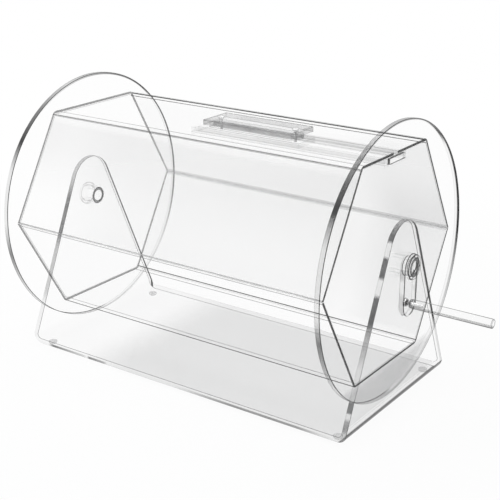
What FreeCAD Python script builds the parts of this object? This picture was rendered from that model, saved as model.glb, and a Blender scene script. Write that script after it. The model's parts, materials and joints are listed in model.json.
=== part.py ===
import FreeCAD, Part
import math
import os

# A clear acrylic raffle drum. A six-sided drum is held between two round discs and
# turns in a stand bent from one sheet. A door strip slides under the drum's top panel,
# along two rails that run to a notch in the right disc, and a crank turns the drum.
# Sizes are in millimetres. X runs along the drum's axis with the crank at +X,
# Y runs from the front to the back, and Z is up from the table.

os.makedirs("parts", exist_ok=True)

# Drum: two bent half shells between two discs
drum_length = 400.0
hexagon_side = 134.0
shell_thickness = 4.0
shell_bend_radius = 3.0
disc_radius = 148.0
disc_thickness = 6.0

# Stand: one sheet bent up at both ends
stand_thickness = 6.0
stand_bend_radius = 5.0
stand_depth = 212.0
arm_top_radius = 31.0
arm_top_above_axis = 47.0
axis_height = 161.0

# Feet under the base
foot_height = 3.0
foot_radius = 5.0
foot_inset_x = 17.0
foot_inset_y = 13.0

# Hollow axle at each end, with its bush in the arm
axle_radius = 10.0
axle_bore_radius = 6.5
bush_radius = 12.5
spacer_thickness = 2.7
spacer_radius = 15.0
collar_thickness = 3.5
collar_radius = 13.5
edge_break = 0.6

# Crank
lever_thickness = 6.0
lever_half_width = 14.0
crank_throw = 40.0
rod_radius = 5.0
rod_length = 90.0
rod_chamfer = 0.8
washer_thickness = 1.0
washer_radius = 4.6
handle_screw_radius = 2.0
handle_screw_length = 20.0
handle_head_radius = 3.8
handle_head_height = 2.4
drill_tip_angle = 118.0

# Sliding door under the top panel, which has a window and a guide slot
door_thickness = 5.0
door_half_width = 15.7
door_overlap = 12.0
door_end_inset = 1.0
window_start = -22.0
window_length = 108.0
window_half_width = 12.0
window_corner_radius = 2.5
guide_half_width = 4.0
rail_half_width = 22.3
rail_overrun = 4.0
ledge_thickness = 3.0
grip_length = 114.0
grip_half_width = 21.0
grip_thickness = 6.0
grip_overhang = 1.0
grip_chamfer = 1.0
grip_screw_inset = 9.0
door_screw_radius = 1.75
door_screw_length = 15.0
door_head_radius = 3.5
door_head_height = 2.0

# Clearances
running_gap = 0.3
shaft_clearance = 0.05
glue_line = 0.03

# Places worked out from the sizes above
half_length = drum_length / 2
disc_outer_x = half_length + disc_thickness
arm_inner_x = disc_outer_x + spacer_thickness + running_gap
arm_outer_x = arm_inner_x + stand_thickness
left_collar_x = arm_outer_x + running_gap
left_end_x = left_collar_x + collar_thickness
lever_x = arm_outer_x + running_gap + spacer_thickness
lever_outer_x = lever_x + lever_thickness
right_end_x = lever_outer_x + collar_thickness
washer_x = lever_outer_x + running_gap
rod_x = washer_x + washer_thickness
rod_end_x = rod_x + rod_length
origin_shift_x = -(rod_end_x - left_end_x) / 2

outer_apothem = hexagon_side * math.sin(math.radians(60))
inner_side = hexagon_side - shell_thickness / math.cos(math.radians(30))
inner_apothem = outer_apothem - shell_thickness
panel_top_z = axis_height + outer_apothem
panel_under_z = axis_height + inner_apothem
door_top_z = panel_under_z - running_gap
door_under_z = door_top_z - door_thickness
ledge_top_z = door_under_z - running_gap
ledge_under_z = ledge_top_z - ledge_thickness
grip_under_z = panel_top_z + running_gap
grip_top_z = grip_under_z + grip_thickness

base_under_z = foot_height
base_top_z = base_under_z + stand_thickness
arm_top_z = axis_height + arm_top_above_axis
arm_round_z = arm_top_z - arm_top_radius

window_end = window_start + window_length
stem_left_x = window_start + running_gap
stem_right_x = stem_left_x + grip_length - 2 * grip_overhang
grip_left_x = stem_left_x - grip_overhang
grip_right_x = grip_left_x + grip_length
door_travel = half_length - running_gap - grip_right_x
door_left_x = window_start - door_overlap
door_right_x = disc_outer_x - door_end_inset - door_travel

handle_z = axis_height - crank_throw


# Shape helpers

def point(x, y, z):
    return FreeCAD.Vector(x, y, z)


def box(x_low, x_high, y_low, y_high, z_low, z_high):
    return Part.makeBox(x_high - x_low, y_high - y_low, z_high - z_low, point(x_low, y_low, z_low))


def rod_along_x(x_low, x_high, radius, y=0.0, z=axis_height):
    return Part.makeCylinder(radius, x_high - x_low, point(x_low, y, z), point(1, 0, 0))


def turned(outline, centre, axis):
    """Turn an outline of (along, radius) pairs about an axis through centre."""
    if abs(axis.x) > 0.5:
        side = point(0, 0, 1)
    else:
        side = point(1, 0, 0)
    corners = [centre + axis * along + side * radius for along, radius in outline]
    wire = Part.makePolygon(corners + [corners[0]])
    return Part.Face(wire).revolve(centre, axis, 360)


def rounded_path(corners, radius):
    """Straight runs through the corners, joined by tangent arcs of one radius."""
    edges = []
    start = corners[0]
    for before, corner, after in zip(corners, corners[1:], corners[2:]):
        to_before = (before - corner).normalize()
        to_after = (after - corner).normalize()
        half_angle = to_before.getAngle(to_after) / 2
        reach = radius / math.tan(half_angle)
        bisector = (to_before + to_after).normalize()
        centre = corner + bisector * (radius / math.sin(half_angle))
        arc_start = corner + to_before * reach
        arc_middle = centre - bisector * radius
        arc_end = corner + to_after * reach
        edges.append(Part.LineSegment(start, arc_start).toShape())
        edges.append(Part.Arc(arc_start, arc_middle, arc_end).toShape())
        start = arc_end
    edges.append(Part.LineSegment(start, corners[-1]).toShape())
    return edges


def bent_section(outer_corners, inner_corners, inner_radius, thickness):
    """The cross-section of a sheet bent along parallel lines."""
    outer = rounded_path(outer_corners, inner_radius + thickness)
    inner = rounded_path(inner_corners, inner_radius)
    first_end = Part.LineSegment(outer_corners[0], inner_corners[0]).toShape()
    last_end = Part.LineSegment(outer_corners[-1], inner_corners[-1]).toShape()
    loop = Part.__sortEdges__(outer + inner + [first_end, last_end])
    return Part.Face(Part.Wire(loop))


# Stand

def arm_outline():
    """The stand seen along the axis: straight at the base, tapering to a round top."""
    half = stand_depth / 2
    taper_start_z = base_under_z + stand_bend_radius + stand_thickness
    rise = arm_round_z - taper_start_z
    reach = math.hypot(half, rise)
    lean = math.atan2(half, rise) - math.asin(arm_top_radius / reach)
    touch_y = arm_top_radius * math.cos(lean)
    touch_z = arm_round_z + arm_top_radius * math.sin(lean)
    front = [point(0, -half, base_under_z), point(0, -half, taper_start_z), point(0, -touch_y, touch_z)]
    back = [point(0, touch_y, touch_z), point(0, half, taper_start_z), point(0, half, base_under_z)]
    edges = [Part.LineSegment(a, b).toShape() for a, b in zip(front, front[1:])]
    edges.append(Part.Arc(front[-1], point(0, 0, arm_top_z), back[0]).toShape())
    edges += [Part.LineSegment(a, b).toShape() for a, b in zip(back, back[1:])]
    edges.append(Part.LineSegment(back[-1], front[0]).toShape())
    return Part.Face(Part.Wire(edges))


def make_stand():
    half = stand_depth / 2
    outer_x = arm_outer_x
    inner_x = arm_inner_x
    outer = [point(-outer_x, -half, arm_top_z), point(-outer_x, -half, base_under_z),
             point(outer_x, -half, base_under_z), point(outer_x, -half, arm_top_z)]
    inner = [point(-inner_x, -half, arm_top_z), point(-inner_x, -half, base_top_z),
             point(inner_x, -half, base_top_z), point(inner_x, -half, arm_top_z)]
    section = bent_section(outer, inner, stand_bend_radius, stand_thickness)
    sheet = section.extrude(point(0, stand_depth, 0))
    outline = arm_outline()
    outline.translate(point(-outer_x, 0, 0))
    stand = sheet.common(outline.extrude(point(2 * outer_x, 0, 0)))
    bush_hole = rod_along_x(-outer_x, outer_x, bush_radius + glue_line)
    return stand.cut(bush_hole)


def make_foot(side_x, side_y):
    centre_x = side_x * (arm_outer_x - foot_inset_x)
    centre_y = side_y * (stand_depth / 2 - foot_inset_y)
    return Part.makeCylinder(foot_radius, foot_height, point(centre_x, centre_y, 0))


def ring(start_x, length, bore, radius):
    """A plain ring about the drum's axis. A negative length runs towards the left."""
    low = min(start_x, start_x + length)
    high = max(start_x, start_x + length)
    return rod_along_x(low, high, radius).cut(rod_along_x(low, high, bore))


def make_bushes():
    """One bush in the hole of each arm."""
    bore = axle_radius + shaft_clearance
    return Part.makeCompound([ring(side * arm_inner_x, side * stand_thickness, bore, bush_radius)
                              for side in (-1, 1)])


# Drum shell and discs

def hexagon_half(side, upper):
    """Four corners of half a hexagon, from the front corner to the back corner."""
    way = 1 if upper else -1
    rise = way * side * math.sin(math.radians(60))
    start = -half_length
    return [point(start, -side, axis_height), point(start, -side / 2, axis_height + rise),
            point(start, side / 2, axis_height + rise), point(start, side, axis_height)]


def make_half_shell(upper):
    outer = hexagon_half(hexagon_side, upper)
    inner = hexagon_half(inner_side, upper)
    section = bent_section(outer, inner, shell_bend_radius, shell_thickness)
    return section.extrude(point(drum_length, 0, 0))


def make_upper_shell():
    """The upper half shell with the ticket window and the guide slot in its top panel."""
    low_z = panel_under_z - shell_thickness
    high_z = panel_top_z + shell_thickness
    window = box(window_start, window_end, -window_half_width, window_half_width, low_z, high_z)
    upright = [edge for edge in window.Edges if edge.BoundBox.ZLength > shell_thickness]
    window = window.makeFillet(window_corner_radius, upright)
    guide = box(window_start + window_length / 2, half_length, -guide_half_width, guide_half_width, low_z, high_z)
    return make_half_shell(True).cut(window.fuse(guide))


def make_disc(side):
    disc = rod_along_x(min(side * half_length, side * disc_outer_x),
                       max(side * half_length, side * disc_outer_x), disc_radius)
    axle_hole = rod_along_x(-disc_outer_x, disc_outer_x, axle_radius + glue_line)
    return disc.cut(axle_hole)


def make_right_disc():
    half_notch = door_half_width + running_gap
    notch = box(half_length, disc_outer_x, -half_notch, half_notch, ledge_top_z, panel_under_z)
    return make_disc(1).cut(notch)


# Axles, spacers, collars and the crank lever

def make_left_axle():
    return ring(-half_length, half_length - left_end_x, axle_bore_radius, axle_radius)


def make_right_axle():
    return ring(half_length, right_end_x - half_length, axle_bore_radius, axle_radius)


def make_spacers():
    """Three like rings: one between each disc and its arm, and one under the crank lever."""
    places = [-disc_outer_x - spacer_thickness, disc_outer_x, lever_x - spacer_thickness]
    return Part.makeCompound([ring(start_x, spacer_thickness, axle_radius + glue_line, spacer_radius)
                              for start_x in places])


def make_collar(start_x, side):
    """A retaining ring with its outward edge broken."""
    bore = axle_radius + glue_line
    outline = [(0, bore), (0, collar_radius), (collar_thickness - edge_break, collar_radius),
               (collar_thickness, collar_radius - edge_break), (collar_thickness, bore)]
    return turned(outline, point(start_x, 0, axis_height), point(side, 0, 0))


def make_lever():
    top = rod_along_x(lever_x, lever_outer_x, lever_half_width)
    bottom = rod_along_x(lever_x, lever_outer_x, lever_half_width, z=handle_z)
    middle = box(lever_x, lever_outer_x, -lever_half_width, lever_half_width, handle_z, axis_height)
    lever = top.fuse([bottom, middle]).removeSplitter()
    hub_hole = rod_along_x(lever_x, lever_outer_x, axle_radius + glue_line)
    pivot_hole = rod_along_x(lever_x, lever_outer_x, handle_screw_radius + shaft_clearance, z=handle_z)
    recess_depth = handle_head_height + 2 * running_gap
    recess = rod_along_x(lever_x, lever_x + recess_depth, handle_head_radius + running_gap, z=handle_z)
    return lever.cut(hub_hole).cut(pivot_hole).cut(recess)


# Handle: a rod on a screw that turns in the lever

handle_axis = point(1, 0, 0)
screw_seat_x = lever_x + handle_head_height + running_gap
screw_tip_x = screw_seat_x + handle_screw_length


def make_handle_screw():
    head_x = screw_seat_x - handle_head_height
    tip = handle_screw_radius
    length = screw_tip_x - head_x
    slot_depth = handle_head_height / 2
    outline = [(0, 0), (0, handle_head_radius), (handle_head_height, handle_head_radius),
               (handle_head_height, handle_screw_radius), (length - tip, handle_screw_radius), (length, 0)]
    screw = turned(outline, point(head_x, 0, handle_z), handle_axis)
    driver_slot = box(head_x, head_x + slot_depth, -handle_head_radius, handle_head_radius,
                      handle_z - slot_depth / 2, handle_z + slot_depth / 2)
    return screw.cut(driver_slot)


def make_washer():
    outline = [(0, handle_screw_radius + glue_line), (0, washer_radius),
               (washer_thickness, washer_radius), (washer_thickness, handle_screw_radius + glue_line)]
    return turned(outline, point(washer_x, 0, handle_z), handle_axis)


def make_rod():
    bore = handle_screw_radius + glue_line
    bore_depth = screw_tip_x - rod_x
    cone_depth = bore / math.tan(math.radians(drill_tip_angle / 2))
    outline = [(0, bore), (0, rod_radius - rod_chamfer), (rod_chamfer, rod_radius),
               (rod_length - rod_chamfer, rod_radius), (rod_length, rod_radius - rod_chamfer),
               (rod_length, 0), (bore_depth + cone_depth, 0), (bore_depth, bore)]
    return turned(outline, point(rod_x, 0, handle_z), handle_axis)


# Door: strip, stem and grip held together by two screws, on rails under the top panel

def make_rail_spacer(side):
    inner_y = side * (door_half_width + running_gap)
    outer_y = side * rail_half_width
    return box(door_left_x - rail_overrun, half_length, min(inner_y, outer_y), max(inner_y, outer_y),
               ledge_top_z, panel_under_z)


def make_rail_ledge(side):
    inner_y = side * window_half_width
    outer_y = side * rail_half_width
    return box(door_left_x - rail_overrun, half_length, min(inner_y, outer_y), max(inner_y, outer_y),
               ledge_under_z, ledge_top_z)


def door_screw(centre_x, extra):
    """A countersunk screw, head up, made larger all round by extra."""
    radius = door_screw_radius + extra
    head = door_head_radius + extra
    outline = [(0, 0), (0, head), (door_head_height, radius),
               (door_screw_length - radius, radius), (door_screw_length, 0)]
    return turned(outline, point(centre_x, 0, grip_top_z), point(0, 0, -1))


def door_screw_places():
    return [grip_left_x + grip_screw_inset, grip_right_x - grip_screw_inset]


def with_screw_holes(shape):
    for centre_x in door_screw_places():
        shape = shape.cut(door_screw(centre_x, glue_line))
    return shape


def make_door_strip():
    strip = box(door_left_x, door_right_x, -door_half_width, door_half_width, door_under_z, door_top_z)
    return with_screw_holes(strip)


def make_door_stem():
    half_width = guide_half_width - running_gap
    stem = box(stem_left_x, stem_right_x, -half_width, half_width, door_top_z, grip_under_z)
    return with_screw_holes(stem)


def make_door_grip():
    grip = box(grip_left_x, grip_right_x, -grip_half_width, grip_half_width, grip_under_z, grip_top_z)
    top_edges = [edge for edge in grip.Edges if abs(edge.CenterOfMass.z - grip_top_z) < 0.01]
    return with_screw_holes(grip.makeChamfer(grip_chamfer, top_edges))


def make_door_screws():
    return Part.makeCompound([door_screw(centre_x, 0.0) for centre_x in door_screw_places()])


# All pieces by name

pieces = {
    "stand": make_stand(),
    "arm_bushes": make_bushes(),
    "upper_shell": make_upper_shell(),
    "lower_shell": make_half_shell(False),
    "left_disc": make_disc(-1),
    "right_disc": make_right_disc(),
    "left_axle_tube": make_left_axle(),
    "right_axle_tube": make_right_axle(),
    "axle_spacers": make_spacers(),
    "left_collar": make_collar(-left_collar_x, -1),
    "crank_lever": make_lever(),
    "right_collar": make_collar(lever_outer_x, 1),
    "handle_screw": make_handle_screw(),
    "handle_washer": make_washer(),
    "handle_rod": make_rod(),
    "door_strip": make_door_strip(),
    "door_stem": make_door_stem(),
    "door_grip": make_door_grip(),
    "door_screws": make_door_screws(),
}
for depth_name, depth_side in (("front", -1), ("back", 1)):
    pieces["rail_spacer_" + depth_name] = make_rail_spacer(depth_side)
    pieces["rail_ledge_" + depth_name] = make_rail_ledge(depth_side)
    for width_name, width_side in (("left", -1), ("right", 1)):
        pieces["foot_" + depth_name + "_" + width_name] = make_foot(width_side, depth_side)

for name, shape in pieces.items():
    shape.translate(point(origin_shift_x, 0, 0))
    shape.exportStep("parts/" + name + ".step")

print("nodes", len(pieces), "solids", sum(len(shape.Solids) for shape in pieces.values()))
print("drum middle at x", round(origin_shift_x, 3), "and its axis at z", round(axis_height, 3))
print("door travel", round(door_travel, 3))
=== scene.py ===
# %% [markdown]
# A raffle drum in clear acrylic: a six-sided drum between two round discs, held in a
# stand that is bent from one sheet, with a crank at one end and a sliding door in its
# top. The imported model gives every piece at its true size, and this lesson gives each
# piece its finish: flat faces that are almost invisible, polished cut edges that gather
# light, and the thin dark lines where the two meet.

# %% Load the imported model
import json
import math

import bpy
from mathutils import Matrix, Vector
from mathutils.bvhtree import BVHTree


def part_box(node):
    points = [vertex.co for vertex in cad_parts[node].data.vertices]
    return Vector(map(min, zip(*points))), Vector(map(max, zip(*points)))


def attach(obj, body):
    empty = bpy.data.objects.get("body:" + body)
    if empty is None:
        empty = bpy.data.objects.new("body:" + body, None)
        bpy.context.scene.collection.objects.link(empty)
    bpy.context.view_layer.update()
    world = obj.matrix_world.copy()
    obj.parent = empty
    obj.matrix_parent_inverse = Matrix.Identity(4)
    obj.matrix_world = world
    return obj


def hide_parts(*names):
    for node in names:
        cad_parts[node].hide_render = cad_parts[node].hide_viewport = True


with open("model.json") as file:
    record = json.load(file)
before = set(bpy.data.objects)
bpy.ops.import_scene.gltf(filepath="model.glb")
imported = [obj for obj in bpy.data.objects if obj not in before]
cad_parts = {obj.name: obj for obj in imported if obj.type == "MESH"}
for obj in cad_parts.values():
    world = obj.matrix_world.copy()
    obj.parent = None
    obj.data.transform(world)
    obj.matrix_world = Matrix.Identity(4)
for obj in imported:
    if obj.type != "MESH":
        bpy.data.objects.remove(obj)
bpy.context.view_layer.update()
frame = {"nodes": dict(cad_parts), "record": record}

mm = 0.001
print("pieces in the packed model:", len(frame["nodes"]))

# %% [markdown]
# Most of the drum is flat sheet. A sheet looks clear because its faces hardly change the
# light, while its cut edges look grey and white, because light that is trapped between
# the faces leaves there. One material could not show both, so each sheet gets three: one
# for its faces, one for its cut edges and one for the fine chamfer between them.

# %% Small helpers for working on one piece at a time
def work_on(piece):
    """Selects this piece alone and makes it the active one."""
    bpy.ops.object.select_all(action="DESELECT")
    piece.select_set(True)
    bpy.context.view_layer.objects.active = piece


def new_piece(name, mesh):
    piece = bpy.data.objects.new(name, mesh)
    bpy.context.scene.collection.objects.link(piece)
    return piece


def apply_modifiers(piece):
    work_on(piece)
    for modifier in list(piece.modifiers):
        bpy.ops.object.modifier_apply(modifier=modifier.name)


# %% [markdown]
# Shader maths reads best as plain arithmetic. This small class wraps a socket, so that
# an expression such as 1 - mask adds the Math node by itself. Every other node comes from
# one method, which takes the node's type, its settings and what goes into its sockets.

# %% Shader maths as expressions
def grey(level):
    return (level, level, level)


class Number:
    """A socket that carries a number. Arithmetic on it adds Math nodes."""

    def __init__(self, finish, socket):
        self.finish = finish
        self.socket = socket

    def maths(self, operation, first, second=0.0):
        node = self.finish.node("Math", {"operation": operation}, {0: first, 1: second})
        return Number(self.finish, node.outputs[0])

    def __add__(self, other):
        return self.maths("ADD", self, other)

    def __sub__(self, other):
        return self.maths("SUBTRACT", self, other)

    def __rsub__(self, other):
        return self.maths("SUBTRACT", other, self)

    def __mul__(self, other):
        return self.maths("MULTIPLY", self, other)

    def __pow__(self, other):
        return self.maths("POWER", self, other)

    def __abs__(self):
        return self.maths("ABSOLUTE", self)

    __rmul__ = __mul__


class Finish:
    """A new material or world, with one method that adds any node."""

    def __init__(self, name, owners=None):
        if owners is None:
            owners = bpy.data.materials
        self.owner = owners.new(name)
        self.owner.use_nodes = True
        self.tree = self.owner.node_tree
        self.tree.nodes.clear()

    def node(self, kind, settings=None, sockets=None):
        node = self.tree.nodes.new("ShaderNode" + kind)
        for name, value in (settings or {}).items():
            if name == "stops":
                self.set_stops(node.color_ramp, value)
            else:
                setattr(node, name, value)
        for name, value in (sockets or {}).items():
            socket = node.inputs[name]
            if isinstance(value, Number):
                value = value.socket
            if isinstance(value, bpy.types.NodeSocket):
                self.tree.links.new(value, socket)
            else:
                socket.default_value = value
        return node

    def set_stops(self, ramp, stops):
        for place, colour in stops[2:]:
            ramp.elements.new(place)
        for element, (place, colour) in zip(ramp.elements, stops):
            element.position = place
            element.color = (*colour, 1.0)

    def number(self, node, output=0):
        return Number(self, node.outputs[output])

    def place(self):
        """The point on the object, and its three numbers."""
        point = self.node("TexCoord").outputs["Object"]
        parts = self.node("SeparateXYZ", None, {0: point})
        return point, *(self.number(parts, axis) for axis in "XYZ")

    def noise(self, point, scale, detail=2.0):
        sockets = {"Vector": point, "Scale": scale, "Detail": detail}
        return self.number(self.node("TexNoise", None, sockets), "Fac")

    def rise(self, value, low, high):
        """0 at low, 1 at high, smooth between them and level past them. Low may be the greater."""
        node = self.node("MapRange", {"interpolation_type": "SMOOTHSTEP"},
                         {"Value": value, "From Min": low, "From Max": high})
        return self.number(node, "Result")

    def ramp(self, value, stops):
        """A grey that follows value from 0 to 1: each stop is a place and a level."""
        levels = [(at, grey(level)) for at, level in stops]
        return self.node("ValToRGB", {"stops": levels}, {"Fac": value}).outputs["Color"]

    def stretches(self, value, stops):
        """How dark an edge is along value: each stop is a place, in rising order, and a darkness."""
        start, end = stops[0][0], stops[-1][0]
        levels = [((at - start) / (end - start), grey(dark)) for at, dark in stops]
        share = (value - start) * (1 / (end - start))
        return self.number(self.node("ValToRGB", {"stops": levels}, {"Fac": share}), "Color")

    def facing(self):
        """0 where the surface faces the eye, 1 at its outline."""
        return self.number(self.node("LayerWeight", None, {"Blend": 0.5}), "Facing")

    def surface(self, shader, output="OutputMaterial"):
        self.node(output, None, {"Surface": shader.outputs[0]})
        return self.owner


# %% [markdown]
# The face of a cast sheet has no colour of its own. What the eye sees is a very light
# haze, a little more of it where the sheet is seen at a slant, and faint cloudy marks
# from handling. Alpha sets how much of the haze is seen. Layer Weight could be replaced by
# Fresnel, but on a face that points away from the eye Fresnel counts the inside of the
# sheet as a mirror, and the far face of every sheet would turn grey.

# %% The clear face of a sheet
acrylic_ior = 1.49


def clear_face(name, haze, tint, slant=0.05, painted_shade_and_seams=(), dark=None, painted_shade_mist=None):
    """Veils stand for painted shade and reflection, and for dark seams: each is more haze in one
    region: its haze, then one or more of (axis letter, from, to). dark and mist may be functions of
    the finish and x, y, z: dark is 1 where the face is a dark line, and mist is more haze, painted shade."""
    finish = Finish(name)
    point, *places = finish.place()
    cloud = finish.noise(point, 7.0, 3.0)
    smear = finish.noise(point, 60.0, 4.0)
    tone = (cloud * 0.2 + 0.86) * tint
    cover = (cloud * 0.5 + 0.75) * haze + finish.facing() ** 4 * slant
    for amount, *region in painted_shade_and_seams:
        for letter, start, end in region:
            amount = amount * finish.rise(places["XYZ".index(letter)], start, end)
        cover = cover + amount
    if painted_shade_mist:
        cover = cover + painted_shade_mist(finish, *places)
    if dark:
        line = dark(finish, *places)
        cover = cover + line
        tone = (1 - line) * tone
    shader = finish.node("BsdfPrincipled", None, {
        "Base Color": tone,
        "Roughness": smear * 0.12 + 0.03,
        "IOR": acrylic_ior,
        "Alpha": cover,
    })
    return finish.surface(shader)


# %% [markdown]
# A cut edge is polished, and it shows the room from all sides at once. It is never even:
# along it, dark stretches and clear stretches follow each other, painted reflections of the
# room, and where they meet the change is quick. The clear stretches come from a low Alpha
# and not from a white colour, so they are as bright as whatever is behind them.

# %% The polished cut edge
def edge_shader(finish, point, level, cover, tone_scale):
    """The part that every edge finish shares: grey tones, a hard gloss, and cover as Alpha."""
    tone = finish.noise(point, tone_scale)
    shader = finish.node("BsdfPrincipled", None, {
        "Base Color": finish.ramp(tone, [(0.3, level * 0.7), (0.7, level * 1.4)]),
        "Roughness": 0.12,
        "Specular IOR Level": 0.15,
        "Alpha": cover,
    })
    return finish.surface(shader)


def cut_edge(name, level, cover, clear_cover, scale, spread):
    """A small spread makes the dark and the clear stretches meet sharply."""
    finish = Finish(name)
    point = finish.place()[0]
    dark = 1 - finish.rise(finish.noise(point, scale, 1.0), 0.5 - spread, 0.5 + spread)
    return edge_shader(finish, point, level, dark * (cover - clear_cover) + clear_cover, scale * 4)


# %% [markdown]
# The rim of a disc is one long cut edge. Its stretches are painted reflections of the room,
# placed by the angle round the axle, from the bottom over the front, the top and the back
# to the bottom again, and they turn with the drum. Noise moves each border a little. Over
# the front and the top the whole width of the rim takes part, and over the rest of the back
# only a narrow line beside one face does.

# %% The rim of a disc
disc_low, disc_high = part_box("right_disc")
axis_z = (disc_low.z + disc_high.z) / 2
disc_radius = (disc_high.z - disc_low.z) / 2
front_degrees, top_degrees, back_degrees = -90.0, 0.0, 90.0
border_wander = 14.0
print("axis height", round(axis_z / mm, 2), "mm, disc radius", round(disc_radius / mm, 2), "mm")


def degrees_round_axle(y, z):
    """-180 at the bottom, -90 at the front, 0 at the top, 90 at the back."""
    return y.maths("ARCTAN2", y, z - axis_z) * (180 / math.pi)


def disc_rim(name, node, level):
    finish = Finish(name)
    point, x, y, z = finish.place()
    low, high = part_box(node)
    turn = degrees_round_axle(y, z) + (finish.noise(point, 12.0) - 0.5) * border_wander
    along = finish.stretches(turn, (
        (-180, 0.35), (-133, 0.1), (front_degrees - 14, 0.75), (front_degrees, 0.1), (-68, 0.12),
        (-54, 1.0), (-36, 0.8), (-18, 0.3), (top_degrees, 0.6),
        (11, 1.0), (back_degrees, 1.0), (112, 0.5), (133, 0.15), (180, 0.35)))
    line_starts, line_is_full = low.x * 0.62 + high.x * 0.38, low.x * 0.4 + high.x * 0.6
    beside_right_face = finish.rise(x, line_starts, line_is_full)
    near_top = finish.rise(z, axis_z + disc_radius * 0.66, axis_z + disc_radius * 0.8)
    front_half = 1 - finish.rise(y, -10 * mm, 15 * mm)
    whole = front_half + (1 - front_half) * near_top
    width = whole + (1 - whole) * beside_right_face
    return edge_shader(finish, point, level, along * width * 0.92 + 0.08, 25.0)


# %% [markdown]
# Where a face meets a cut edge there is a fine chamfer. It bends light away from the eye,
# so against a pale room it is the darkest line on the sheet.

# %% The fine dark chamfer
def dark_line(name, level, cover, faint=None, left=0.3):
    """faint may name a region: (axis letter, from, to). There only the share left remains."""
    finish = Finish(name)
    point, *places = finish.place()
    wander = finish.noise(point, 14.0)
    if faint:
        letter, start, end = faint
        cover = (1 - finish.rise(places["XYZ".index(letter)], start, end) * (1 - left)) * cover
    shader = finish.node("BsdfPrincipled", None, {
        "Base Color": finish.ramp(wander, [(0.3, level), (0.75, level * 2.2)]),
        "Roughness": 0.2,
        "Specular IOR Level": 0.1,
        "Alpha": (wander * 0.6 + 0.7) * cover,
    })
    return finish.surface(shader)


# %% [markdown]
# A round or bent piece of clear acrylic works as a lens. Its middle is clear, and near
# its outline it turns dark, because there it bends light from far away. Layer Weight
# says how far a point is turned from the eye, and two values of it mark where the dark
# outline begins and where it is full.

# %% Clear acrylic that is round or bent
def round_clear(name, level, middle, outline, edge=(0.4, 0.62), under=None):
    """under may give two heights: below the first the piece is dark, painted shade, above the second
    clear.
    """
    finish = Finish(name)
    point, x, y, z = finish.place()
    flow = finish.noise(point, 40.0)
    cover = finish.rise(finish.facing(), *edge) * (outline - middle) + middle
    if under:
        cover = cover + (1 - finish.rise(z, *under)) * 0.5
    shader = finish.node("BsdfPrincipled", None, {
        "Base Color": finish.ramp(flow, [(0.35, level * 0.7), (0.65, level)]),
        "Roughness": 0.06,
        "IOR": acrylic_ior,
        "Alpha": cover,
    })
    return finish.surface(shader)


# %% [markdown]
# The shell's ends are glued flat to the discs. The cement wets the outer part of the edge,
# and there the joint is a dark line. The inner part stays nearly clear. How deep a point
# lies under the shell's surface is worked out from its distance to the six flats.

# %% The glued end of the shell
shell_low, shell_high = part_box("upper_shell")
flat_distance = shell_high.z - axis_z
shell_length = shell_high.x - shell_low.x
sides = 6
print("shell: flats", round(flat_distance / mm, 2), "mm from the axis, length",
      round(shell_length / mm, 1), "mm")


def distance_to_flats(y, z):
    """How far a point is from the axle, measured towards the nearest of the shell's six flats."""
    height = z - axis_z
    furthest = abs(height)
    for step in (1, 2):
        turn = step * 2 * math.pi / sides
        towards_flat = abs(y * math.sin(turn) + height * math.cos(turn))
        furthest = furthest.maths("MAXIMUM", furthest, towards_flat)
    return furthest


def glued_end(name, level, wet_depth):
    finish = Finish(name)
    point, x, y, z = finish.place()
    wet_from = flat_distance - wet_depth
    wet = finish.rise(distance_to_flats(y, z), wet_from - 0.3 * mm, wet_from)
    patchy = finish.noise(point, 30.0)
    right_end = finish.rise(x, shell_low.x, shell_high.x)
    shader = finish.node("BsdfPrincipled", None, {
        "Base Color": finish.ramp(patchy, [(0.3, level * 0.7), (0.7, level * 1.5)]),
        "Roughness": 0.2,
        "Specular IOR Level": 0.1,
        "Alpha": wet * (right_end * 0.3 + 0.6) + 0.08,
    })
    return finish.surface(shader)


# %% [markdown]
# A sheet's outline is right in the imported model, so the sheet is not drawn again. A copy
# of its mesh is merged into one skin, its flat areas are cleaned of their triangles, and
# its sharp edges are chamfered. To tell a face from a cut edge, a ray goes straight into
# the sheet at the middle of each polygon: behind a face it leaves after one thickness,
# and behind a cut edge it goes on for longer. Each chamfer takes the finish of a dark
# line, and near a hole it can take another.

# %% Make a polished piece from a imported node
glue_gap = 0.04 * mm
far_away = 1.0
body_of = {node: body for body, nodes in frame["record"]["behaviour"]["bodies"].items() for node in nodes}
face_slot, edge_slot, line_slot = range(3)


def merged_copy(node):
    """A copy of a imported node's mesh, merged, without needless triangles, a hair smaller."""
    piece = new_piece(node + "_polished", frame["nodes"][node].data.copy())
    piece.data.materials.clear()
    work_on(piece)
    bpy.ops.mesh.customdata_custom_splitnormals_clear()
    bpy.ops.object.mode_set(mode="EDIT")
    bpy.ops.mesh.select_all(action="SELECT")
    bpy.ops.mesh.remove_doubles(threshold=0.002 * mm)
    bpy.ops.mesh.dissolve_limited(angle_limit=math.radians(0.5))
    bpy.ops.mesh.select_all(action="SELECT")
    bpy.ops.transform.shrink_fatten(value=-glue_gap, use_even_offset=True)
    bpy.ops.object.mode_set(mode="OBJECT")
    return piece


def points_on_polygons(mesh):
    """For each polygon, a point that is surely on it: the middle of its largest triangle."""
    mesh.calc_loop_triangles()
    largest = {}
    for triangle in mesh.loop_triangles:
        if triangle.area > largest.get(triangle.polygon_index, (0.0, None))[0]:
            corners = [mesh.vertices[v].co for v in triangle.vertices]
            largest[triangle.polygon_index] = (triangle.area, sum(corners, Vector()) / 3)
    return {index: middle for index, (area, middle) in largest.items()}


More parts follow.
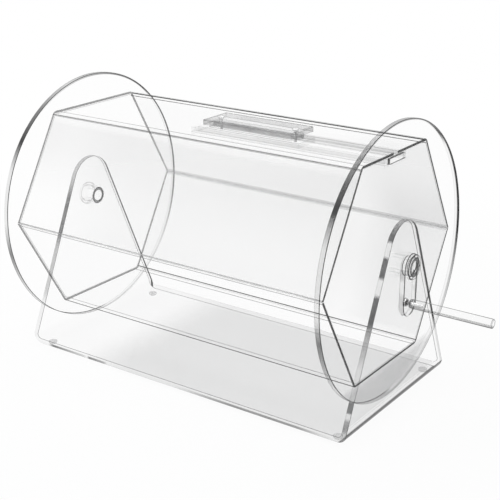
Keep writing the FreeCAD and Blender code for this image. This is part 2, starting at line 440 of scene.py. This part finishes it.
def mark_cut_edges(piece, thickness, special):
    """special may choose another slot for a polygon, from its normal, its middle and is_cut."""
    deepest_face = 1.3 * thickness
    mesh = piece.data
    middles = points_on_polygons(mesh)
    tree = BVHTree.FromPolygons([v.co for v in mesh.vertices], [p.vertices for p in mesh.polygons])
    cuts = 0
    for polygon in mesh.polygons:
        middle = middles.get(polygon.index, polygon.center)
        hit = tree.ray_cast(middle - polygon.normal * 0.01 * mm, -polygon.normal)
        depth = far_away if hit[3] is None else hit[3]
        is_cut = depth > deepest_face
        polygon.material_index = edge_slot if is_cut else face_slot
        slot = special(polygon.normal, middle, is_cut) if special else None
        if slot is not None:
            polygon.material_index = slot
        cuts += is_cut
    return cuts


def chamfer(piece, width):
    bevel = piece.modifiers.new("chamfer", "BEVEL")
    bevel.width = width
    bevel.segments = 1
    bevel.limit_method = "ANGLE"
    bevel.angle_limit = math.radians(40)
    bevel.material = line_slot
    apply_modifiers(piece)
    bpy.ops.object.shade_smooth_by_angle(angle=math.radians(30))


def place_in_object(piece, node):
    """The piece takes its node's body, and stands for it."""
    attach(piece, body_of[node])
    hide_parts(node)


def polish(node, finishes, thickness=far_away, width=0.3 * mm, special=None, special_line=None):
    """finishes are for faces, cut edges and chamfers, and then for what special and
    special_line choose. Without a thickness nothing counts as a cut edge."""
    piece = merged_copy(node)
    for material in finishes:
        piece.data.materials.append(material)
    cuts = mark_cut_edges(piece, thickness, special)
    chamfer(piece, width)
    for polygon in piece.data.polygons:
        if special_line and polygon.material_index == line_slot:
            slot = special_line(polygon.center)
            polygon.material_index = line_slot if slot is None else slot
    place_in_object(piece, node)
    print(node, "polygons", len(piece.data.polygons), "cut", cuts)


def from_axle(point):
    return math.hypot(point.y, point.z - axis_z)


# %% [markdown]
# The stand is one 6 mm sheet, cut out flat and bent up at both ends over a hot wire. Its
# front edges carry stretches of grey and clear, painted reflections, which end sharply.
# Noise could place them, but then each would lie where it happens to fall, so they are
# listed by their height up the arm or their length along the base. The back edges are
# clear but for one line on each arm, a painted reflection too. The two bends are round and
# work as lenses. The right one has a dark outline on its outer side. The base carries
# painted shade: it is greyer than the arms, and much greyer but for its left end.

# %% The stand
stand_low, stand_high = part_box("stand")
stand_thickness = 6 * mm
base_top = stand_low.z + stand_thickness
base_only = ("Z", base_top + 4 * mm, base_top)
base_but_its_left_end = ("X", -200 * mm, -120 * mm)
# The base's extra haze is painted shade, light over all of it and strong but for its left end.
stand_face = clear_face("stand_face", haze=0.008, tint=0.5, painted_shade_and_seams=(
    (0.02, base_only), (0.19, base_only, base_but_its_left_end)))
stand_line = dark_line("stand_line", level=0.03, cover=0.95)
dark_bend = round_clear("dark_bend", level=0.03, middle=0.03, outline=0.9, edge=(0.48, 0.64))
clear_bend = round_clear("clear_bend", level=0.2, middle=0.02, outline=0.3, edge=(0.7, 0.9))
stand_hole = clear_face("stand_hole", haze=0.01, tint=0.6, slant=0.0)
back_edge_slot, dark_bend_slot, bush_hole_slot, clear_bend_slot = range(3, 7)
bush_low, bush_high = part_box("arm_bushes")
bush_hole_reach = (bush_high.z - bush_low.z) / 2 + 2 * mm
print("stand", [round(side / mm, 1) for side in stand_high - stand_low], "mm")


def in_millimetres(stops):
    return [(place * mm, dark) for place, dark in stops]


def stand_front_edge(name, level):
    """Painted reflections: stretches by height up each arm and by length along the base's lower half."""
    finish = Finish(name)
    point, x, y, z = finish.place()
    shift = (finish.noise(point, 25.0) - 0.5) * 6 * mm
    height, length = z + shift, x + shift
    right_arm = finish.stretches(height, in_millimetres((
        (8, 0.05), (18, 0.7), (25, 0.6), (28, 0.04), (32, 0.05), (34, 0.85), (44, 0.9), (47, 0.05),
        (75, 0.08), (90, 0.45), (110, 0.75), (116, 1.0), (140, 1.0), (144, 0.04), (157, 0.04),
        (160, 1.0), (176, 1.0), (179, 0.02), (190, 0.02), (193, 1.0), (201, 1.0), (208, 0.6))))
    left_arm = finish.stretches(height, in_millimetres((
        (10, 0.05), (50, 0.1), (62, 0.4), (110, 0.5), (125, 0.9), (165, 0.9), (182, 0.55),
        (196, 0.45), (208, 0.5))))
    base = finish.stretches(length, in_millimetres((
        (-240, 0.04), (-233, 0.95), (-186, 0.35), (-180, 0.05), (-176, 0.9), (-154, 0.6), (-148, 0.04),
        (-50, 0.05), (-10, 0.5), (30, 0.75), (110, 0.7), (135, 0.2), (150, 0.04))))
    lower_half = 1 - finish.rise(z, stand_low.z + 2.6 * mm, stand_low.z + 3.6 * mm)
    on_right = finish.rise(x, 0.0, 100 * mm)
    arm = right_arm * on_right + left_arm * (1 - on_right)
    up = finish.rise(z, base_top, base_top + 1 * mm)
    cover = arm * up + base * lower_half * (1 - up)
    return edge_shader(finish, point, level, cover * 0.9 + 0.05, 60.0)


def stand_back_edge(name, level, line_width):
    """Clear but for a dark line beside the right-hand face of each arm, a painted reflection."""
    finish = Finish(name)
    point, x, y, z = finish.place()
    left_arm_face = stand_low.x + stand_thickness
    left_start, right_start = left_arm_face - line_width, stand_high.x - line_width
    left_line = (finish.rise(x, left_start - 0.8 * mm, left_start)
                 - finish.rise(x, left_arm_face + 0.5 * mm, left_arm_face + 1.0 * mm))
    right_line = finish.rise(x, right_start - 0.8 * mm, right_start)
    faint_below, full_above = 55 * mm, 80 * mm
    lines = left_line + right_line * (finish.rise(z, faint_below, full_above) * 0.75 + 0.25)
    return edge_shader(finish, point, level, lines * 0.88 + 0.05, 20.0)


def stand_parts(normal, middle, is_cut):
    if is_cut and from_axle(middle) < bush_hole_reach:
        return bush_hole_slot
    if is_cut and normal.y > 0.1:
        return back_edge_slot
    leans = abs(normal.y) < 0.05 and abs(normal.x) > 0.05 and abs(normal.z) > 0.05
    if leans and not is_cut:
        return dark_bend_slot if middle.x > 0 and normal.x > 0 else clear_bend_slot


def stand_lines(middle):
    if from_axle(middle) < bush_hole_reach:
        return bush_hole_slot


front_edge = stand_front_edge("stand_front_edge", 0.13)
back_edge = stand_back_edge("stand_back_edge", 0.06, 2.4 * mm)
polish("stand", (stand_face, front_edge, stand_line, back_edge, dark_bend, stand_hole, clear_bend),
       stand_thickness, 0.5 * mm, stand_parts, stand_lines)

# %% [markdown]
# The discs are 6 mm sheet, turned to size and flame-polished. Each could be a new
# cylinder, but the imported disc already has its axle hole and the right one its notch, so
# they take their finishes as the stand did. Below the shell the right disc is greyer, a
# painted reflection of the base, and inside the shell's upper half it carries light painted
# shade. A thin dark ring of painted reflection runs close to the rim on the right-hand
# face, over the top and down the back.

# %% The discs
disc_thickness = disc_high.x - disc_low.x
shell_floor = axis_z - flat_distance
axle_hole_reach = 20 * mm
rim_starts = disc_radius * 0.97


def near_outline(name, node, back_from):
    """The chamfers of an upright piece. From back_from on, only those on its right are strong."""
    finish = Finish(name)
    point, x, y, z = finish.place()
    low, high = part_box(node)
    middle = (low.x + high.x) / 2
    on_right = finish.rise(x, middle - 0.5 * mm, middle + 0.5 * mm)
    behind = finish.rise(y, back_from - 10 * mm, back_from + 10 * mm)
    return edge_shader(finish, point, 0.03, 0.95 - (1 - on_right) * behind * 0.8, 14.0)


def painted_shade_in_upper_shell(finish, x, y, z):
    """Light painted shade on the inner side of the right disc, where it closes the shell's upper half."""
    inside = 1 - finish.rise(distance_to_flats(y, z), flat_distance - 1 * mm, flat_distance)
    inner = 1 - finish.rise(x, disc_low.x + 2 * mm, disc_low.x + 3 * mm)
    return inside * inner * finish.rise(z, axis_z - 50 * mm, axis_z + 50 * mm) * 0.1


def disc_face(side, haze, ring_width, painted_shade_and_seams=(), painted_shade_mist=None):
    """The face of a disc, with a dark ring of painted reflection close to its rim on the right, over the
    top and back.
    """
    low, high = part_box(side + "_disc")
    middle = (low.x + high.x) / 2

    def ring(finish, x, y, z):
        height = z - axis_z
        ring_starts = disc_radius - ring_width
        distance = (y * y + height * height) ** 0.5
        close_to_rim = finish.rise(distance, ring_starts, ring_starts + 0.6 * mm)
        along = finish.stretches(degrees_round_axle(y, z), (
            (-40, 0.0), (top_degrees, 0.6), (15, 0.85), (60, 0.85), (back_degrees, 0.6), (120, 0.0)))
        return finish.rise(x, middle, middle + 1 * mm) * close_to_rim * along

    return clear_face(side + "_disc_face", haze, 0.5, painted_shade_and_seams=painted_shade_and_seams, dark=ring, painted_shade_mist=painted_shade_mist)


def notch_edge(name, depth):
    """The walls of the notch, dark on the side that meets the shell."""
    finish = Finish(name)
    point, x, y, z = finish.place()
    beside_shell = 1 - finish.rise(x, disc_low.x + depth, disc_low.x + depth + 0.5 * mm)
    return edge_shader(finish, point, 0.03, beside_shell * 0.85 + 0.04, 40.0)


# Below the shell the right disc's face is greyer, a painted reflection of the base.
below_shell = ("Z", shell_floor + 6 * mm, shell_floor - 2 * mm)
left_face = disc_face("left", haze=0.006, ring_width=2.6 * mm)
right_face = disc_face("right", haze=0.008, ring_width=1.9 * mm,
                       painted_shade_and_seams=((0.24, below_shell),), painted_shade_mist=painted_shade_in_upper_shell)
axle_hole = clear_face("axle_hole", haze=0.01, tint=0.6, slant=0.0)
notch = notch_edge("notch_edge", 2.2 * mm)
axle_hole_slot, notch_slot = 3, 4


def disc_parts(normal, middle, is_cut):
    if is_cut and from_axle(middle) < axle_hole_reach:
        return axle_hole_slot
    if is_cut and from_axle(middle) < rim_starts:
        return notch_slot


def disc_lines(middle):
    return disc_parts(None, middle, True)


for disc, face in (("left_disc", left_face), ("right_disc", right_face)):
    rim = disc_rim(disc + "_rim", disc, 0.05)
    outline = near_outline(disc + "_outline", disc, 5 * mm)
    polish(disc, (face, rim, outline, axle_hole, notch),
           disc_thickness, 0.6 * mm, disc_parts, disc_lines)

# %% [markdown]
# The shell is two 4 mm sheets, each bent twice and glued to the other along the front and
# back edges. A bend works as a lens, and its shade is painted: two fine lines where the flat
# sheet starts to curve, clear between them, and only at the upper back bend grey. The lines
# of the upper back bend and of the lower front bend are the widest and darkest. The
# direction of a polygon's normal tells how far round a bend it lies, so no line has to be
# drawn by hand.

# %% The shell
shell_thickness = 4 * mm
panel_turn = 360 / sides
half_side = flat_distance * math.tan(math.pi / sides)
front_bend, back_bend = -half_side, half_side
front_panels = ("Y", front_bend, front_bend - 4 * mm)
back_panels = ("Y", back_bend, back_bend + 4 * mm)
behind_right_disc = ("X", shell_high.x - 110 * mm, shell_high.x - 50 * mm)
beyond_left_end = ("X", shell_low.x + 30 * mm, shell_low.x + 160 * mm)
towards_top = ("Z", axis_z + 20 * mm, axis_z + 100 * mm)
towards_back = ("Y", 85 * mm, 130 * mm)
back_seam_above = ("Z", axis_z + 2.8 * mm, axis_z + 2.0 * mm)
back_seam_below = ("Z", axis_z - 2.8 * mm, axis_z - 2.0 * mm)
seam_line_start, seam_line_end = 1.0 * mm, 2.2 * mm
strong_line_turn, light_line_turn = 16.0, 10.0
print("shell: half a side", round(half_side / mm, 2), "mm, each bend turns", panel_turn, "degrees")


def front_seam(finish, x, y, z):
    """1 along a fine line above and one below the joint at the front."""
    off_joint = abs(z - axis_z)
    started = finish.rise(off_joint, seam_line_start - 0.2 * mm, seam_line_start + 0.2 * mm)
    ended = finish.rise(off_joint, seam_line_end - 0.2 * mm, seam_line_end + 0.2 * mm)
    outer_surface = finish.rise(y, shell_low.y + 2.8 * mm, shell_low.y + 2.2 * mm)
    return (started - ended) * outer_surface * 0.6


# The regions of extra haze are painted shade: the front panels greyer towards the top and away from the
# left end, the back panels greyer, most behind the right disc. The strong band beside the back seam is a
# dark glue joint.
upper_face = clear_face("upper_shell_face", haze=0.004, tint=0.5, slant=0.03, dark=front_seam, painted_shade_and_seams=(
    (0.08, front_panels, towards_top), (0.07, front_panels, beyond_left_end), (0.02, back_panels),
    (0.03, back_panels, behind_right_disc), (0.08, towards_back, behind_right_disc),
    (0.35, back_panels, back_seam_above)))
lower_face = clear_face("lower_shell_face", haze=0.003, tint=0.5, slant=0.03, dark=front_seam, painted_shade_and_seams=(
    (0.01, back_panels), (0.1, back_panels, behind_right_disc), (0.35, back_panels, back_seam_below)))
shell_edge = cut_edge("shell_edge", level=0.4, cover=0.2, clear_cover=0.08, scale=20.0, spread=0.1)
near_back_seam = ("Y", 118 * mm, 126 * mm)
shell_line = dark_line("shell_line", level=0.05, cover=0.65, faint=near_back_seam)
shell_end = glued_end("shell_glued_end", 0.05, 2.6 * mm)
light_bend_line = dark_line("light_bend_line", level=0.06, cover=0.85)
strong_bend_line = dark_line("strong_bend_line", level=0.02, cover=0.95)
bend_middle = round_clear("bend_middle", level=0.4, middle=0.03, outline=0.3, edge=(0.7, 0.95))
back_middle = round_clear("back_bend_middle", level=0.2, middle=0.4, outline=0.8, edge=(0.7, 0.95))
end_slot, light_line_slot, strong_line_slot, middle_slot, back_middle_slot = range(3, 8)


def shell_parts(normal, middle, is_cut):
    from_end = min(middle.x - shell_low.x, shell_high.x - middle.x)
    if abs(normal.x) > 0.9 and from_end < 1 * mm:
        return end_slot
    if is_cut:
        return None
    angle = math.degrees(math.atan2(normal.z, normal.y))
    from_flat = abs(angle % panel_turn - panel_turn / 2)
    if from_flat < 1.0:
        return None
    at_back, at_top = middle.y > 0, middle.z > axis_z
    is_strong = at_back == at_top
    if from_flat > (strong_line_turn if is_strong else light_line_turn):
        return back_middle_slot if at_back and at_top else middle_slot
    return strong_line_slot if is_strong else light_line_slot


def shell_lines(middle):
    if middle.y < 0 and abs(middle.z - axis_z) < 1 * mm:
        return face_slot


for half, face in (("upper", upper_face), ("lower", lower_face)):
    finishes = (face, shell_edge, shell_line, shell_end,
                light_bend_line, strong_bend_line, bend_middle, back_middle)
    polish(half + "_shell", finishes, shell_thickness, 0.3 * mm, shell_parts, shell_lines)

# %% [markdown]
# The door is a strip under the top panel, a stem through the window and a grip that the
# hand pushes. It slides on two rails, each a spacer with a ledge. These small strips lie
# flat on each other, so their faces must be very clear, or the layers add up to a grey
# block. The grip lies outside, and its faces and edges may show.

# %% The door and its rails
strip_face = clear_face("strip_face", haze=0.002, tint=0.7, slant=0.01)
strip_edge = cut_edge("strip_edge", level=0.3, cover=0.1, clear_cover=0.02, scale=30.0, spread=0.1)
strip_line = dark_line("strip_line", level=0.04, cover=0.8)
rail_line = dark_line("rail_line", level=0.08, cover=0.3)
rail_edge = cut_edge("rail_edge", level=0.25, cover=0.14, clear_cover=0.09, scale=12.0, spread=0.3)
grip_face = clear_face("grip_face", haze=0.09, tint=0.5)
grip_edge = cut_edge("grip_edge", level=0.3, cover=0.35, clear_cover=0.25, scale=30.0, spread=0.15)
grip_line = dark_line("grip_line", level=0.03, cover=0.8)
strip_thickness, grip_thickness = 5 * mm, 6 * mm
spacer_thickness, ledge_thickness = 6.4 * mm, 3 * mm
small_chamfer = 0.2 * mm
polish("door_grip", (grip_face, grip_edge, grip_line), grip_thickness)
polish("door_strip", (strip_face, strip_edge, strip_line), strip_thickness, small_chamfer)
polish("door_stem", (strip_face, grip_edge, strip_line), strip_thickness, small_chamfer)


def rail_sides(normal, middle, is_cut):
    return edge_slot if abs(normal.y) > 0.9 else face_slot


for depth in ("front", "back"):
    polish("rail_spacer_" + depth, (strip_face, rail_edge, rail_line),
           spacer_thickness, small_chamfer, rail_sides)
    polish("rail_ledge_" + depth, (strip_face, strip_face, rail_line), ledge_thickness, small_chamfer)

# %% [markdown]
# The crank lever is a round-ended strip of 6 mm sheet with a hole for the axle and one for
# the handle's screw. Its chamfers are drawn like those of the discs, and its cut edge is
# clear but for faint stretches and, at the back, one dark line, all painted reflections.

# %% The crank lever
lever_face = clear_face("lever_face", haze=0.02, tint=0.6)


def lever_edge_finish(name, level):
    """Painted reflections: faint stretches all round, and at the back a dark line beside the right face.
    """
    finish = Finish(name)
    point, x, y, z = finish.place()
    right_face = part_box("crank_lever")[1].x
    stretch = finish.rise(finish.noise(point, 30.0, 1.0), 0.45, 0.55) * 0.25
    line = finish.rise(x, right_face - 2.4 * mm, right_face - 1.6 * mm) * finish.rise(y, 0.0, 3 * mm)
    return edge_shader(finish, point, level, line * 0.75 + stretch + 0.04, 60.0)


lever_edge = lever_edge_finish("lever_edge", 0.05)
lever_line = near_outline("lever_line", "crank_lever", 0.0)
lever_thickness = 6 * mm
polish("crank_lever", (lever_face, lever_edge, lever_line), lever_thickness, 0.65 * mm)

# %% [markdown]
# The axles are short tubes. From the end a tube is a dark ring round a bright bore, and
# from the side it is clear but for its outline. The collars are wider clear rings with a
# fine dark line round them. The bushes and spacers sit behind these and get almost no
# cover at all, or the hubs would turn dark. All of them are turned, so the direction of
# the normal tells an end from a side.

# %% Axles, collars, bushes and spacers
tube_side = round_clear("tube_side", level=0.3, middle=0.0, outline=0.08)
tube_end = cut_edge("tube_end", level=0.1, cover=0.9, clear_cover=0.75, scale=90.0, spread=0.2)
ring_side = round_clear("ring_side", level=0.1, middle=0.0, outline=0.35)
ring_end = clear_face("ring_end", haze=0.01, tint=0.7)
hidden_side = round_clear("hidden_side", level=0.3, middle=0.0, outline=0.04)
hidden_line = dark_line("hidden_line", level=0.15, cover=0.03)
ring_line_cover = {"left": 0.22, "right": 0.9}
far_end_slot = 3


def turned_parts(normal, middle, is_cut):
    if normal.x < -0.9:
        return far_end_slot
    return edge_slot if normal.x > 0.9 else face_slot


for side in ("left", "right"):
    low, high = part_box(side + "_axle_tube")
    half_way = (low.x + high.x) / 2
    left_half = ("X", half_way + 2 * mm, half_way - 2 * mm)
    tube_line = dark_line(side + "_tube_line", level=0.03, cover=0.95, faint=left_half, left=0.03)
    ring_line = dark_line(side + "_ring_line", level=0.03, cover=ring_line_cover[side])
    polish(side + "_axle_tube", (tube_side, tube_end, tube_line, ring_end),
           width=0.45 * mm, special=turned_parts)
    polish(side + "_collar", (ring_side, ring_end, ring_line, ring_end),
           width=0.4 * mm, special=turned_parts)
for node in ("arm_bushes", "axle_spacers"):
    polish(node, (hidden_side, ring_end, hidden_line, ring_end), special=turned_parts)

# %% [markdown]
# The handle is a 10 mm rod of clear acrylic that turns on a screw through the lever. A
# thin nylon washer keeps it off the lever. The rod is drilled for the screw, and the wall
# of that hole is clear, because a dark one would hide the screw.

# %% The handle's rod and washer
rod_low, rod_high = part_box("handle_rod")
rod_middle = (rod_low + rod_high) / 2
# The rod's lowest strip, below these two heights, is darker: painted shade.
painted_shade_underside = (rod_low.z + 1.0 * mm, rod_low.z + 1.5 * mm)
rod_side = round_clear("rod_side", level=0.06, middle=0.02, outline=0.9, edge=(0.5, 0.75), under=painted_shade_underside)
rod_end = clear_face("rod_end", haze=0.05, tint=0.8)
rod_line = dark_line("rod_line", level=0.08, cover=0.7)
nylon = round_clear("nylon", level=0.7, middle=0.25, outline=0.6)
drilled_reach = 3.5 * mm
drilled_slot = 4
drilled = clear_face("drilled_hole", haze=0.01, tint=0.7, slant=0.0)
print("rod", round((rod_high.z - rod_low.z) / mm, 1), "mm thick and",
      round((rod_high.x - rod_low.x) / mm, 1), "mm long")


def is_drilled(point):
    return math.hypot(point.y - rod_middle.y, point.z - rod_middle.z) < drilled_reach


def rod_parts(normal, middle, is_cut):
    if is_drilled(middle) and abs(normal.x) < 0.9:
        return drilled_slot
    return turned_parts(normal, middle, is_cut)


def rod_lines(middle):
    if is_drilled(middle):
        return drilled_slot


polish("handle_rod", (rod_side, rod_end, rod_line, rod_end, drilled),
       special=rod_parts, special_line=rod_lines)
polish("handle_washer", (nylon, nylon, rod_line, nylon), width=0.15 * mm, special=turned_parts)

# %% [markdown]
# The screws are the only metal on the object, and each is turned from steel rod. Turned
# steel is bright, with a fine grain from the tool, which a bump gives.

# %% A finish of turned steel
def turned_steel(name):
    finish = Finish(name)
    point = finish.place()[0]
    grain = finish.noise(point, 900.0, 3.0)
    patch = finish.noise(point, 120.0)
    bump = finish.node("Bump", None, {"Height": grain, "Strength": 0.08, "Distance": 0.05 * mm})
    shader = finish.node("BsdfPrincipled", None, {
        "Base Color": finish.ramp(patch, [(0.3, 0.78), (0.7, 0.92)]),
        "Metallic": 1.0,
        "Roughness": grain * 0.2 + 0.15,
        "Normal": bump.outputs["Normal"],
    })
    return finish.surface(shader)


# %% [markdown]
# A screw has a low head with a hexagon socket, and a shank with a thread. It could be a
# cylinder with a bump pattern, but here its outline shows through clear acrylic, so it is
# modelled: two rings bridged into the head's face, the inner one pushed in as the socket,
# and the outer one extruded again and again into the head, the shank and the thread. The
# thread is a row of ridges and not a true spiral, which at this size cannot be told.

# %% Model a screw, head up, with its face at the origin
def select_edges(mesh, wanted):
    """Selects the edges whose two ends both satisfy wanted(point)."""
    for vertex in mesh.vertices:
        vertex.select = False
    for polygon in mesh.polygons:
        polygon.select = False
    for edge in mesh.edges:
        edge.select = all(wanted(mesh.vertices[index].co) for index in edge.vertices)


def push_ring(depth, scale):
    """Extrudes the selected ring down by depth and scales it about the screw's axis."""
    bpy.ops.mesh.extrude_region_move(TRANSFORM_OT_translate={"value": (0, 0, -depth)})
    if scale != 1.0:
        bpy.ops.transform.resize(value=(scale, scale, 1.0), center_override=(0, 0, 0))


def screw(name, head_radius, head_height, shank_radius, length, pitch):
    """Whole ridges fill length, which starts at the head's face, and a short tip follows."""
    socket_radius, socket_depth = head_radius * 0.45, head_height * 0.6
    root = 0.82
    bpy.ops.object.select_all(action="DESELECT")
    bpy.ops.mesh.primitive_circle_add(vertices=36, radius=head_radius, location=(0, 0, 0))
    piece = bpy.context.active_object
    piece.name = name
    bpy.ops.object.mode_set(mode="EDIT")
    bpy.ops.mesh.select_mode(type="EDGE")
    bpy.ops.mesh.primitive_circle_add(vertices=6, radius=socket_radius, location=(0, 0, 0))
    bpy.ops.mesh.select_all(action="SELECT")
    bpy.ops.mesh.bridge_edge_loops()
    bpy.ops.object.mode_set(mode="OBJECT")
    select_edges(piece.data, lambda point: point.xy.length < socket_radius * 1.01)
    bpy.ops.object.mode_set(mode="EDIT")
    push_ring(socket_depth, 1.0)
    bpy.ops.mesh.edge_face_add()
    bpy.ops.object.mode_set(mode="OBJECT")
    select_edges(piece.data, lambda point: point.xy.length > head_radius * 0.99)
    bpy.ops.object.mode_set(mode="EDIT")
    push_ring(head_height, 1.0)
    push_ring(0.0, shank_radius / head_radius)
    for ridge in range(int((length - head_height) / pitch)):
        push_ring(pitch * 0.45, root)
        push_ring(pitch * 0.55, 1 / root)
    push_ring(pitch * 0.3, 0.6)
    bpy.ops.mesh.edge_face_add()
    bpy.ops.mesh.select_all(action="SELECT")
    bpy.ops.mesh.normals_make_consistent(inside=False)
    bpy.ops.object.mode_set(mode="OBJECT")
    bevel = piece.modifiers.new("broken_edges", "BEVEL")
    bevel.width = head_height * 0.12
    bevel.segments = 2
    bevel.angle_limit = math.radians(80)
    apply_modifiers(piece)
    bpy.ops.object.shade_smooth_by_angle(angle=math.radians(35))
    return piece


# %% [markdown]
# The handle's screw lies level, with its head sunk in the side of the lever that faces
# the drum. The door's two screws stand in the grip, heads up. The second is a copy of the
# first, and both are joined into one piece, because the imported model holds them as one
# node.

# %% The handle's screw and the door's two screws
steel = turned_steel("turned_steel")
handle_head_height, handle_shank_radius, handle_pitch = 2.4 * mm, 2.0 * mm, 0.8 * mm
door_head_height, door_shank_radius, door_pitch = 2.0 * mm, 1.75 * mm, 0.7 * mm
tip_length = 1.0 * mm
low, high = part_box("handle_screw")
handle_screw = screw("handle_screw_turned", (high.z - low.z) / 2 - glue_gap, handle_head_height,
                     handle_shank_radius - glue_gap, high.x - low.x - tip_length, handle_pitch)
head_to_left = Matrix.Rotation(-math.pi / 2, 4, "Y")
head_place = Vector((low.x, (low.y + high.y) / 2, (low.z + high.z) / 2))
handle_screw.data.transform(Matrix.Translation(head_place) @ head_to_left)
handle_screw.data.materials.append(steel)
place_in_object(handle_screw, "handle_screw")

low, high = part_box("door_screws")
head_reach = (high.y - low.y) / 2
middle_y = (low.y + high.y) / 2
door_screws = screw("door_screws_turned", head_reach - glue_gap, door_head_height,
                    door_shank_radius - glue_gap, high.z - low.z - tip_length, door_pitch)
second = new_piece("second_screw", door_screws.data.copy())
door_screws.data.transform(Matrix.Translation((low.x + head_reach, middle_y, high.z)))
second.data.transform(Matrix.Translation((high.x - head_reach, middle_y, high.z)))
work_on(door_screws)
second.select_set(True)
bpy.ops.object.join()
door_screws.data.materials.append(steel)
place_in_object(door_screws, "door_screws")
print("screws:", len(handle_screw.data.polygons), "and", len(door_screws.data.polygons), "polygons")

# %% [markdown]
# Under each corner of the base sits a small clear bumper, flat where it is glued on and
# rounded where it stands on the table. A sphere could be cut flat for it, but a short
# cylinder with a wide bevel keeps the flat it stands on. One is modelled and copied to
# the four corners.

# %% The four bumper feet
bumper_finish = round_clear("bumper", level=0.35, middle=0.1, outline=0.4)
bumper_rounding = 2.0 * mm
low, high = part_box("foot_front_left")
bpy.ops.object.select_all(action="DESELECT")
bpy.ops.mesh.primitive_cylinder_add(vertices=40, radius=(high.x - low.x) / 2 - glue_gap,
                                    depth=high.z - low.z - glue_gap, location=(0, 0, 0))
bumper = bpy.context.active_object
select_edges(bumper.data, lambda point: point.z < 0)
bpy.ops.object.mode_set(mode="EDIT")
bpy.ops.mesh.select_mode(type="EDGE")
bpy.ops.mesh.bevel(offset=bumper_rounding, segments=6, profile=0.5, affect="EDGES")
bpy.ops.object.mode_set(mode="OBJECT")
bpy.ops.object.shade_smooth_by_angle(angle=math.radians(40))
bumper.data.materials.append(bumper_finish)
for corner in ("front_left", "front_right", "back_left", "back_right"):
    low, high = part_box("foot_" + corner)
    foot = new_piece("foot_" + corner + "_domed", bumper.data.copy())
    foot.data.transform(Matrix.Translation((low + high) / 2))
    place_in_object(foot, "foot_" + corner)
bpy.data.objects.remove(bumper)
print("feet", round((high.x - low.x) / mm, 1), "mm across and", round((high.z - low.z) / mm, 1), "mm high")

# %% [markdown]
# The floor and the room are white to the eye and to what the acrylic mirrors and bends,
# and plain pale grey to everything else, so that they do not flood the object with light.
# Light Path tells the two apart. Close to the object a small share of the floor stays
# plain, and that share holds the object's shadow.

# %% The floor and the room
def seen_directly(finish):
    path = finish.node("LightPath")
    return (finish.number(path, "Is Camera Ray") + finish.number(path, "Is Glossy Ray")
            + finish.number(path, "Is Transmission Ray"))


def studio_floor(name, share_near, shadow_start, shadow_end):
    """share_near is how much of the floor is plain white close to the object."""
    finish = Finish(name)
    point, x, y, z = finish.place()
    far = finish.rise((x * x + y * y) ** 0.5, shadow_start, shadow_end)
    share = far * (1 - share_near) + share_near
    diffuse = finish.node("BsdfDiffuse", None, {"Color": (0.85, 0.85, 0.85, 1.0)})
    glow = finish.node("Emission", None, {"Color": (1.0, 1.0, 1.0, 1.0), "Strength": 1.0})
    mix = finish.node("MixShader", None, {
        0: seen_directly(finish) * share, 1: diffuse.outputs[0], 2: glow.outputs[0]})
    return finish.surface(mix)


bpy.ops.object.select_all(action="DESELECT")
bpy.ops.mesh.primitive_plane_add(size=12.0, location=(0, 0, 0))
floor = bpy.context.active_object
floor.name = "floor"
floor_white = studio_floor("floor_white", share_near=0.93, shadow_start=0.25, shadow_end=0.9)
floor.data.materials.append(floor_white)

room = Finish("studio", bpy.data.worlds)
plain = room.node("Background", None, {"Color": (0.8, 0.82, 0.85, 1.0), "Strength": 0.35})
white = room.node("Background", None, {"Color": (1.0, 1.0, 1.0, 1.0), "Strength": 1.0})
mixed = room.node("MixShader", None, {
    0: seen_directly(room), 1: plain.outputs[0], 2: white.outputs[0]})
bpy.context.scene.world = room.surface(mixed, "OutputWorld")
print("materials", len(bpy.data.materials))

# %% [markdown]
# The acrylic shows the white room, so the lamps only shape the few solid pieces and the
# shadow. Large ones keep that shadow soft: one hangs over the object and one stands at its
# front left.

# %% Lamps
def softbox(name, place, aim, size, power):
    lamp = bpy.data.lights.new(name, "AREA")
    lamp.shape = "RECTANGLE"
    lamp.size, lamp.size_y = size
    lamp.energy = power
    holder = bpy.data.objects.new(name, lamp)
    bpy.context.scene.collection.objects.link(holder)
    holder.location = place
    holder.rotation_euler = (Vector(aim) - Vector(place)).to_track_quat("-Z", "Y").to_euler()
    print(name, power, "W,", round((Vector(aim) - Vector(place)).length, 2), "m from the drum")


drum_middle = (0.0, 0.0, axis_z)
softbox("top_light", (-0.2, 0.1, 1.7), drum_middle, size=(1.4, 1.4), power=22.0)
softbox("front_light", (-1.1, -1.6, 1.2), drum_middle, size=(1.0, 1.0), power=12.0)

# %% [markdown]
# The camera stands to the right of the front and looks down at the drum. Its long lens
# keeps the two discs nearly the same size.

# %% Camera
camera_data = bpy.data.cameras.new("camera")
camera_data.sensor_width = 36.0
camera_data.lens = 81.0
camera = bpy.data.objects.new("camera", camera_data)
bpy.context.scene.collection.objects.link(camera)
bpy.context.scene.camera = camera
yaw, pitch = math.radians(35.1), math.radians(-20.0)
camera.location = (0.65165, -0.9611, 0.5647)
forward = Vector((-math.sin(yaw) * math.cos(pitch), math.cos(yaw) * math.cos(pitch), math.sin(pitch)))
camera.rotation_mode = "QUATERNION"
camera.rotation_quaternion = forward.to_track_quat("-Z", "Y")

# %% [markdown]
# A ray to the back of the drum can cross more than twenty clear faces. With fewer bounces
# than faces it would end in black, so the transparent bounces are raised well above that.

# %% Colour and light paths
scene = bpy.context.scene
scene.view_settings.view_transform = "Standard"
scene.cycles.max_bounces = 24
scene.cycles.transparent_max_bounces = 64
